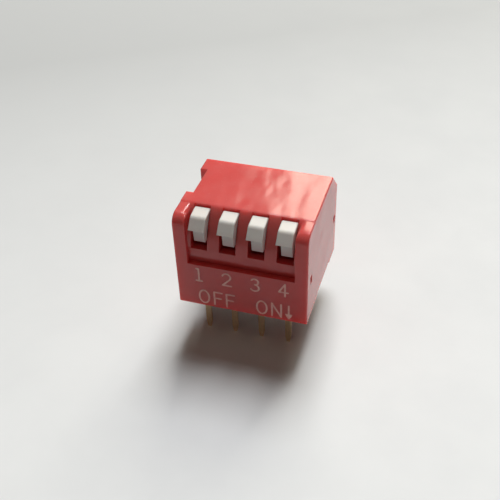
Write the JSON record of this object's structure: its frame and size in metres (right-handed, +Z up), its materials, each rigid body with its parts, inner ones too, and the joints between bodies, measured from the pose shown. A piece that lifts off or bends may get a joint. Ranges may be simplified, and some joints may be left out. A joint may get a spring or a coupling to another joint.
{
  "type": "dip switch",
  "caption": "Side-operated DIP switch block with rocking levers in a front bay, sprung contact clips, and two rows of through-hole pins.",
  "frame": {"origin": "centre of the terminal grid, on the board's surface, level with the underside of the cover's walls", "axes": "+X along the row of levers from the first to the last, -Y towards the lever side, +Z up from the board"},
  "size_m": [0.0118, 0.011, 0.0136],
  "materials": {
    "red_cover": "moulded red thermoplastic with a slightly wavy gloss",
    "red_base": "moulded red thermoplastic",
    "seal_resin": "cast sealing resin",
    "ivory_lever": "moulded ivory white thermoplastic, satin",
    "contact_metal": "rolled spring alloy, plated",
    "plated_terminal": "stamped brass, thin gold plating"
  },
  "bodies": {
    "housing": {"cover": "red_cover", "base": "red_base", "terminal_seal": "seal_resin", "front_terminal_1": "plated_terminal", "front_terminal_2": "plated_terminal", "front_terminal_3": "plated_terminal", "front_terminal_4": "plated_terminal", "rear_terminal_1": "plated_terminal", "rear_terminal_2": "plated_terminal", "rear_terminal_3": "plated_terminal", "rear_terminal_4": "plated_terminal"},
    "key_1": {"lever_1": "ivory_lever", "contact_clip_1": "contact_metal"},
    "key_2": {"lever_2": "ivory_lever", "contact_clip_2": "contact_metal"},
    "key_3": {"lever_3": "ivory_lever", "contact_clip_3": "contact_metal"},
    "key_4": {"lever_4": "ivory_lever", "contact_clip_4": "contact_metal"}
  },
  "joints": [
    {"name": "lever_1_pivot", "type": "hinge", "parent": "housing", "child": "key_1", "pos_m": [-0.00381, 0.0005, 0.0055], "axis": [1, 0, 0], "range_deg": [0, 9.5]},
    {"name": "lever_2_pivot", "type": "hinge", "parent": "housing", "child": "key_2", "pos_m": [-0.00127, 0.0005, 0.0055], "axis": [1, 0, 0], "range_deg": [0, 9.5]},
    {"name": "lever_3_pivot", "type": "hinge", "parent": "housing", "child": "key_3", "pos_m": [0.00127, 0.0005, 0.0055], "axis": [1, 0, 0], "range_deg": [0, 9.5]},
    {"name": "lever_4_pivot", "type": "hinge", "parent": "housing", "child": "key_4", "pos_m": [0.00381, 0.0005, 0.0055], "axis": [1, 0, 0], "range_deg": [0, 9.5]}
  ]
}
